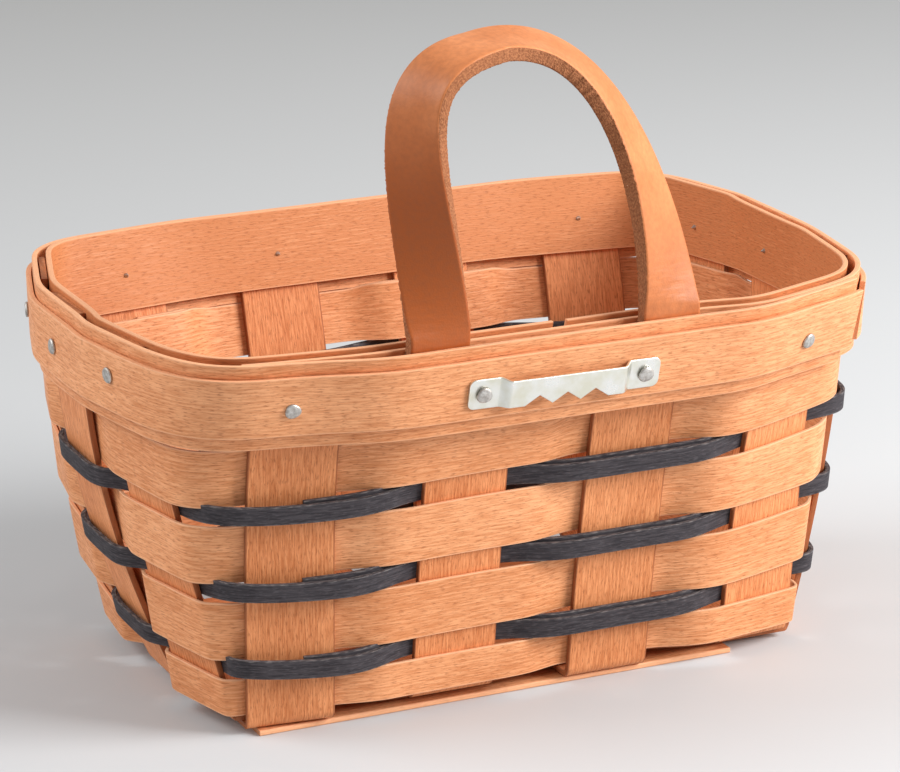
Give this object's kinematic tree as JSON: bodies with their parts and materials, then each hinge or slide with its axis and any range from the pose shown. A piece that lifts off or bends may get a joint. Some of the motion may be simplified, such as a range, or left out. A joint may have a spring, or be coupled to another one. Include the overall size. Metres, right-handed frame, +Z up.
{
  "type": "key basket",
  "caption": "Woven wood-splint key basket with dark accent weavers, nailed rim bands, a leather strap loop and a sawtooth wall hanger.",
  "frame": {"origin": "under the middle of the whole basket, on the plane that the floor runners stand on", "axes": "+X along the long walls, to the right seen from the hanger side; +Y from the hanger side to the opposite wall; +Z up"},
  "size_m": [0.2413, 0.1764, 0.2],
  "materials": {
    "splint_wood": "satin",
    "weaver_wood": "satin",
    "band_wood": "satin",
    "dark_wood": "stained, slightly worn",
    "nail_steel": "plain",
    "plated_steel": "plated",
    "strap_leather": "smooth, cut edges"
  },
  "bodies": {
    "basket": {"splint_cross_1": "splint_wood", "splint_cross_2": "splint_wood", "splint_cross_3": "splint_wood", "splint_cross_4": "splint_wood", "splint_long_1": "splint_wood", "splint_long_2": "splint_wood", "splint_long_3": "splint_wood", "weaver_wide_1": "weaver_wood", "weaver_wide_2": "weaver_wood", "weaver_wide_3": "weaver_wood", "weaver_wide_4": "weaver_wood", "weaver_dark_1": "dark_wood", "weaver_dark_2": "dark_wood", "weaver_dark_3": "dark_wood", "rim_inner_band": "band_wood", "rim_outer_band": "band_wood", "rim_trim": "band_wood", "base_runner_front": "band_wood", "base_runner_back": "band_wood", "nail_front_1": "nail_steel", "nail_front_2": "nail_steel", "nail_front_3": "nail_steel", "nail_front_4": "nail_steel", "nail_right_1": "nail_steel", "nail_right_2": "nail_steel", "nail_right_3": "nail_steel", "nail_back_1": "nail_steel", "nail_back_2": "nail_steel", "nail_back_3": "nail_steel", "nail_back_4": "nail_steel", "nail_left_1": "nail_steel", "nail_left_2": "nail_steel", "nail_left_3": "nail_steel", "sawtooth_hanger": "plated_steel", "handle_tail_left": "strap_leather", "handle_tail_right": "strap_leather"},
    "handle": {"handle_loop": "strap_leather"}
  },
  "joints": [
    {"name": "handle_flex", "type": "hinge", "parent": "basket", "child": "handle", "pos_m": [-0.00462, -0.07914, 0.12065], "axis": [1, 0, 0], "range_deg": [-45, 45], "stiffness_Nm_per_rad": 0.15}
  ]
}
